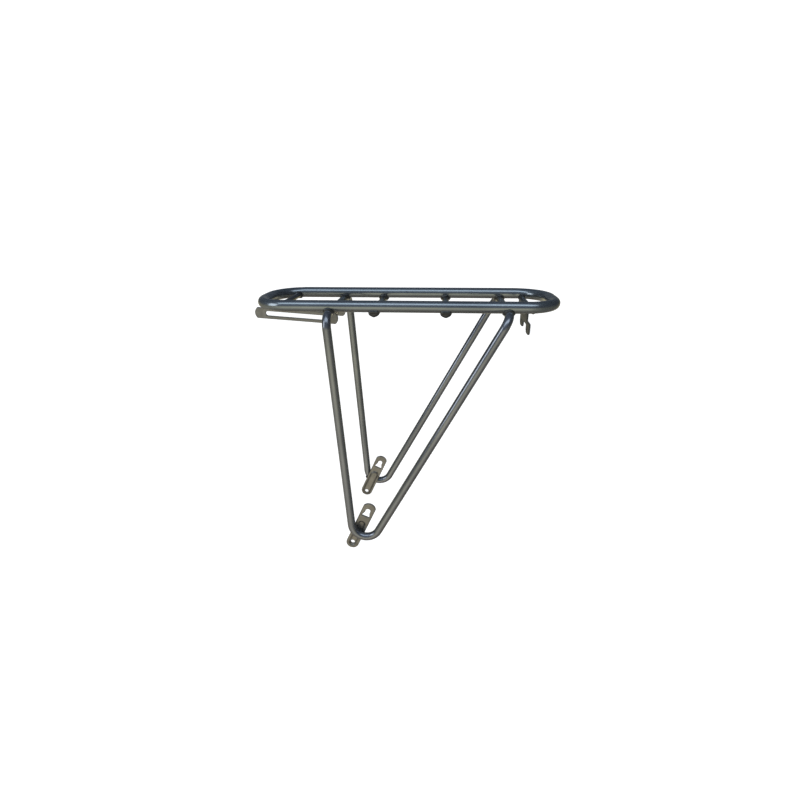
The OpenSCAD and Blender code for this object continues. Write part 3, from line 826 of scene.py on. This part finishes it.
def make_tabs():
    rise = STAY_W / 2 / math.cos(STAY_TILT) + 0.7 + LEG_R
    lean = math.atan2(-BOLT_U, rise)
    reach = math.hypot(BOLT_U, rise) - 3
    up = np.array([math.sin(lean), math.cos(lean)])
    side_way = np.array([math.cos(lean), -math.sin(lean)])
    at = np.array([BOLT_U, 0.0])
    around = [tuple(at + TAB_HALF * (side_way * math.cos(a) + up * math.sin(a)))
              for a in np.radians(np.linspace(180, 360, 31))]
    outline = around + [tuple(at + side_way * TAB_HALF + up * reach),
                        tuple(at - side_way * TAB_HALF + up * reach)]
    holes = [round_hole((BOLT_U, 0), BOLT_R + 0.15)]
    for side, word in ((-1, "left"), (1, "right")):
        surface = stay_surface(side * (TAB_OUT - TAB_T / 2))
        verts, faces = sheet_mesh(outline, holes, TAB_T, 0.5, surface, 1.3)
        add_piece(f"stay_tab_plate_{word}", verts, faces, BRACKET_METAL,
                  replaces=(f"stay_tab_{word}",))
    parts = []
    for side in (-1, 1):
        angles = np.radians(np.linspace(205, 259, 50))
        line = np.stack([FRONT_LEG_X + (LEG_R + 0.5) * np.cos(angles),
                         np.full(50, side * (TAB_OUT - TAB_T - 0.5)),
                         BAR_Z + (LEG_R + 0.5) * np.sin(angles)], 1)
        parts.append(weld_bead(line, 1.5, phase=0.4))
    verts, faces = join(parts)
    add_piece("stay_tab_weld_beads", verts, faces, SHADED_WELD_PAINT, replaces=("stay_tab_welds",))


def hexagon(origin, way, height, flats, bore=0.0, both=False, around=72):
    """A hexagon head or nut with turned chamfers."""
    a, b = across(unit(way))
    turns = np.linspace(0, 2 * math.pi, around, endpoint=False)
    circle = np.outer(np.cos(turns), a) + np.outer(np.sin(turns), b)
    rim = flats / 2 / np.cos((turns + math.pi / 6) % (math.pi / 3) - math.pi / 6)
    face_r = flats / 2 * 0.95
    fall = (rim - face_r) * math.tan(math.radians(30))
    low = fall if both else np.zeros(around)
    rings = []
    if bore:
        rings += [(bore, 0.4), (bore + 0.4, 0.0)]
    else:
        rings += [(AXIS, 0.0)]
    rings += [(face_r, 0.0), (rim, low), (rim, height - fall), (face_r, height)]
    if bore:
        rings += [(bore + 0.4, height), (bore, height - 0.4)]
    else:
        rings += [(face_r * 0.5, height), (AXIS, height)]
    verts = []
    for radius, along in rings:
        radius = np.broadcast_to(radius, around)[:, None]
        along = np.broadcast_to(along, around)[:, None]
        verts.extend(np.asarray(origin, float) + circle * radius + unit(way) * along)
    return verts, ring_faces(len(rings), around, bool(bore))


def threaded(origin, way, length, radius, pitch=1.0, around=36):
    """A threaded shank, with a chamfered tip at its far end."""
    a, b = across(unit(way))
    turns = np.linspace(0, 2 * math.pi, around, endpoint=False)
    circle = np.outer(np.cos(turns), a) + np.outer(np.sin(turns), b)
    steps = int(length / pitch * 8)
    verts = list(np.asarray(origin, float) + circle * AXIS)
    for i in range(steps + 1):
        along = length * i / steps
        wave = np.abs(((along / pitch - turns / (2 * math.pi)) % 1.0) * 2 - 1)
        skin = radius - 0.55 * (1 - wave)
        skin = np.minimum(skin, radius - 0.7 + max(0.0, (length - along)) * 0.9)
        verts.extend(np.asarray(origin, float) + circle * skin[:, None] + unit(way) * along)
    verts.extend(np.asarray(origin, float) + circle * AXIS + unit(way) * length)
    return verts, ring_faces(steps + 3, around)


def make_fasteners():
    centre = stay_surface(0)(np.array([[BOLT_U, 0.0]]))[0]
    out = STAY_Y + STAY_T / 2 + PLATE_GAP
    inner = TAB_OUT - TAB_T
    bolts, washers, nuts = [], [], []
    for side in (-1, 1):
        way = np.array([0.0, side, 0.0])
        rounded = [(0, 3.1), (0, 5.7), (0.12, 5.92), (0.3, WASHER_R), (1.3, WASHER_R), (1.48, 5.92),
                   (WASHER_T, 5.7), (WASHER_T, 3.1), (0, 3.1)]
        washers.append(lathe(rounded, centre + way * out, way))
        seat = out + WASHER_T
        bolts.append(hexagon(centre + way * seat, way, HEAD_H, HEX_FLATS))
        bolts.append(threaded(centre + way * seat, -way, seat - inner + NUT_H + BOLT_TAIL, BOLT_R))
        nuts.append(hexagon(centre + way * (inner - NUT_H), way, NUT_H, HEX_FLATS, BOLT_R, True))
    for name, parts, node in (("stay_bolt_pair", bolts, "stay_bolts"),
                              ("stay_washer_pair", washers, "stay_washers"),
                              ("stay_nut_pair", nuts, "stay_nuts")):
        verts, faces = join(parts)
        piece = add_piece(name, verts, faces, ZINC, replaces=(node,))
        split = piece.modifiers.new("crisp", "EDGE_SPLIT")
        split.split_angle = math.radians(25)


def make_lamp_bracket():
    low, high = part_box("lamp_bracket")
    x0 = low.x / MM
    top, bottom = high.z / MM, low.z / MM
    bend_top, bend_low = DECK_Z - 21.5, DECK_Z - 28.0
    notch = DECK_Z - 32
    bar_z = inner_bar("lamp_bar")[1]

    def surface(points):
        x = x0 + LAMP_T / 2 + LAMP_STEP * eased((bend_top - points[:, 1]) / (bend_top - bend_low))
        return np.stack([x, points[:, 0], points[:, 1]], 1)

    r = LUG_R
    outline = []
    for s in (-1, 1):
        inner, outer = s * (LAMP_HALF - LUG_W), s * LAMP_HALF
        left, right = min(inner, outer), max(inner, outer)
        run = arc((left + r, bottom + r), r, 180, 270, 9) + arc((right - r, bottom + r), r, 270, 360, 9)
        if s < 0:
            outline += run + arc((right + 2, notch - 2), 2, 180, 90, 15)
        else:
            outline += arc((left - 2, notch - 2), 2, 90, 0, 15) + run
    outline += arc((LAMP_HALF - 2, top - 2), 2, 0, 90, 15) + arc((-LAMP_HALF + 2, top - 2), 2, 90, 180, 15)
    holes = [round_hole((s * LAMP_HOLE_Y, bottom + 8), LAMP_HOLE_R) for s in (-1, 1)]
    holes.append(round_hole((0, DECK_Z - 18), 2.5))
    verts, faces = sheet_mesh(outline, holes, LAMP_T, 0.55, surface, 1.2)
    add_piece("lamp_bracket_sheet", verts, faces, LAMP_METAL,
              replaces=("lamp_bracket",))
    parts = []
    for s in (-1, 1):
        y = np.linspace(s * 20 - 11, s * 20 + 11, 50)
        line = np.stack([np.full(50, x0 + LAMP_T + 0.7), y, np.full(50, bar_z - 3.0)], 1)
        parts.append(weld_bead(line, 1.55, phase=0.2 * s))
    verts, faces = join(parts)
    add_piece("lamp_bracket_weld_beads", verts, faces, SHADED_WELD_PAINT,
              replaces=("lamp_bracket_welds",))


make_loop()
make_cross_tubes()
make_rail_welds()
make_legs()
make_axle_brackets()
make_bracket_welds()
make_stays()
make_tabs()
make_fasteners()
make_lamp_bracket()


# ---------------------------------------------------------------- floor, light and camera
def make_stage():
    floor_z = cad_low.z / MM - 1.5
    flat_r, bend, wall = 2600.0, 1400.0, 2600.0
    profile = [(0.0, AXIS)] + [(0.0, r) for r in (300, 900, 1700, flat_r)]
    profile += [(bend * (1 - math.cos(a)), flat_r + bend * math.sin(a))
                for a in np.radians(np.arange(6, 91, 6))]
    profile += [(bend + wall, flat_r + bend)]
    verts, faces = lathe(profile, (80, 0, floor_z), (0, 0, 1), 96)
    mesh = bpy.data.meshes.new("floor")
    mesh.from_pydata([tuple(np.asarray(v) * MM) for v in verts], [], faces)
    mesh.shade_smooth()
    floor = bpy.data.objects.new("floor", mesh)
    collection.objects.link(floor)
    n = Nodes("floor_paper")
    n.give("Base Color", n.ramp(n.noise(3, 2, 0.5), [(0.3, (0.5, 0.5, 0.5)), (0.7, (0.52, 0.52, 0.52))]))
    n.give("Roughness", 0.9)
    n.give("Specular IOR Level", 0.1)
    n.give("Emission Color", (1, 1, 1, 1))
    n.give("Emission Strength", 0.72)
    mesh.materials.append(n.material)
    floor.visible_glossy = False


def make_world():
    """Soft light: cool and dim above the horizon, warm from the ground, less from the right and behind."""
    world = bpy.data.worlds.new("studio")
    bpy.context.scene.world = world
    world.use_nodes = True
    tree = world.node_tree
    nodes, links = tree.nodes, tree.links
    back = nodes["Background"]
    way = nodes.new("ShaderNodeTexCoord").outputs["Generated"]
    split = nodes.new("ShaderNodeSeparateXYZ")
    links.new(way, split.inputs[0])
    height = nodes.new("ShaderNodeMapRange")
    height.inputs["From Min"].default_value = -1
    links.new(split.outputs["Z"], height.inputs["Value"])
    ramp = nodes.new("ShaderNodeValToRGB")
    shades(ramp.color_ramp, [
        (0.0, (0.36, 0.3, 0.22)), (0.08, (0.52, 0.43, 0.3)), (0.25, (1.34, 1.22, 0.94)),
        (0.35, (1.5, 1.36, 0.9)), (0.44, (1.3, 1.2, 0.84)), (0.5, (0.7, 0.68, 0.55)),
        (0.55, (0.3, 0.33, 0.35)), (0.62, (0.25, 0.29, 0.35)), (0.8, (0.24, 0.3, 0.38)),
        (1.0, (0.2, 0.25, 0.33))])
    links.new(height.outputs[0], ramp.inputs["Fac"])
    aside = nodes.new("ShaderNodeMapRange")
    aside.inputs["From Min"].default_value = -1
    links.new(split.outputs["X"], aside.inputs["Value"])
    share = nodes.new("ShaderNodeValToRGB")
    shades(share.color_ramp, [(position, (level,) * 3) for position, level in
                              ((0.0, 0.3), (0.12, 0.6), (0.3, 0.98), (0.5, 0.95), (0.66, 0.8), (0.8, 0.42),
                               (0.92, 0.22), (1.0, 0.17))])
    links.new(aside.outputs[0], share.inputs["Fac"])
    behind = nodes.new("ShaderNodeMapRange")
    behind.inputs["From Min"].default_value = 0.05
    behind.inputs["From Max"].default_value = 0.5
    behind.inputs["To Min"].default_value = 1.0
    behind.inputs["To Max"].default_value = 0.45
    links.new(split.outputs["Y"], behind.inputs["Value"])
    shade = nodes.new("ShaderNodeVectorMath")
    shade.operation = "SCALE"
    links.new(share.outputs["Color"], shade.inputs[0])
    links.new(behind.outputs[0], shade.inputs["Scale"])
    level = nodes.new("ShaderNodeVectorMath")
    level.operation = "SCALE"
    links.new(ramp.outputs["Color"], level.inputs[0])
    links.new(shade.outputs[0], level.inputs["Scale"])
    links.new(level.outputs[0], back.inputs["Color"])
    back.inputs["Strength"].default_value = 0.95


def add_area(name, size, power, colour, place, target):
    light = bpy.data.lights.new(name, "AREA")
    light.shape = "RECTANGLE"
    light.size, light.size_y = size
    light.energy = power
    light.color = colour
    lamp = bpy.data.objects.new(name, light)
    collection.objects.link(lamp)
    lamp.location = place
    lamp.rotation_euler = (Vector(target) - Vector(place)).to_track_quat("-Z", "Y").to_euler()


def make_camera():
    """Looks 20 degrees down and 5 degrees to the left, from beside the deck's middle."""
    data = bpy.data.cameras.new("camera")
    data.sensor_width = 36
    focal_pixels, frame_pixels = 460.91, 800
    data.lens = data.sensor_width * focal_pixels / frame_pixels
    data.shift_y = -0.025
    data.clip_start, data.clip_end = 0.01, 50
    camera = bpy.data.objects.new("camera", data)
    collection.objects.link(camera)
    yaw, pitch, roll = math.radians(5.19), math.radians(20.10), math.radians(-0.51)
    right = Vector((math.cos(yaw), math.sin(yaw), 0))
    ahead = Vector((-math.sin(yaw) * math.cos(pitch), math.cos(yaw) * math.cos(pitch), -math.sin(pitch)))
    up = Vector((-math.sin(yaw) * math.sin(pitch), math.cos(yaw) * math.sin(pitch), math.cos(pitch)))
    x_way = right * math.cos(roll) + up * math.sin(roll)
    y_way = up * math.cos(roll) - right * math.sin(roll)
    basis = Matrix((x_way, y_way, -ahead)).transposed().to_4x4()
    camera.matrix_world = Matrix.Translation((0.1322, -0.6677, 0.4959)) @ basis
    bpy.context.scene.camera = camera


make_stage()
make_world()
add_area("overhead_softbox", (3.0, 1.0), 20, (0.84, 0.93, 1.0), (0.08, -1.06, 2.06), (0.08, 0, 0.36))
add_area("left_fill", (0.8, 1.1), 9, (0.95, 0.98, 1.0), (-1.5, -0.9, 0.85), (0.05, 0, 0.25))
make_camera()
bpy.context.scene.view_settings.view_transform = "Standard"
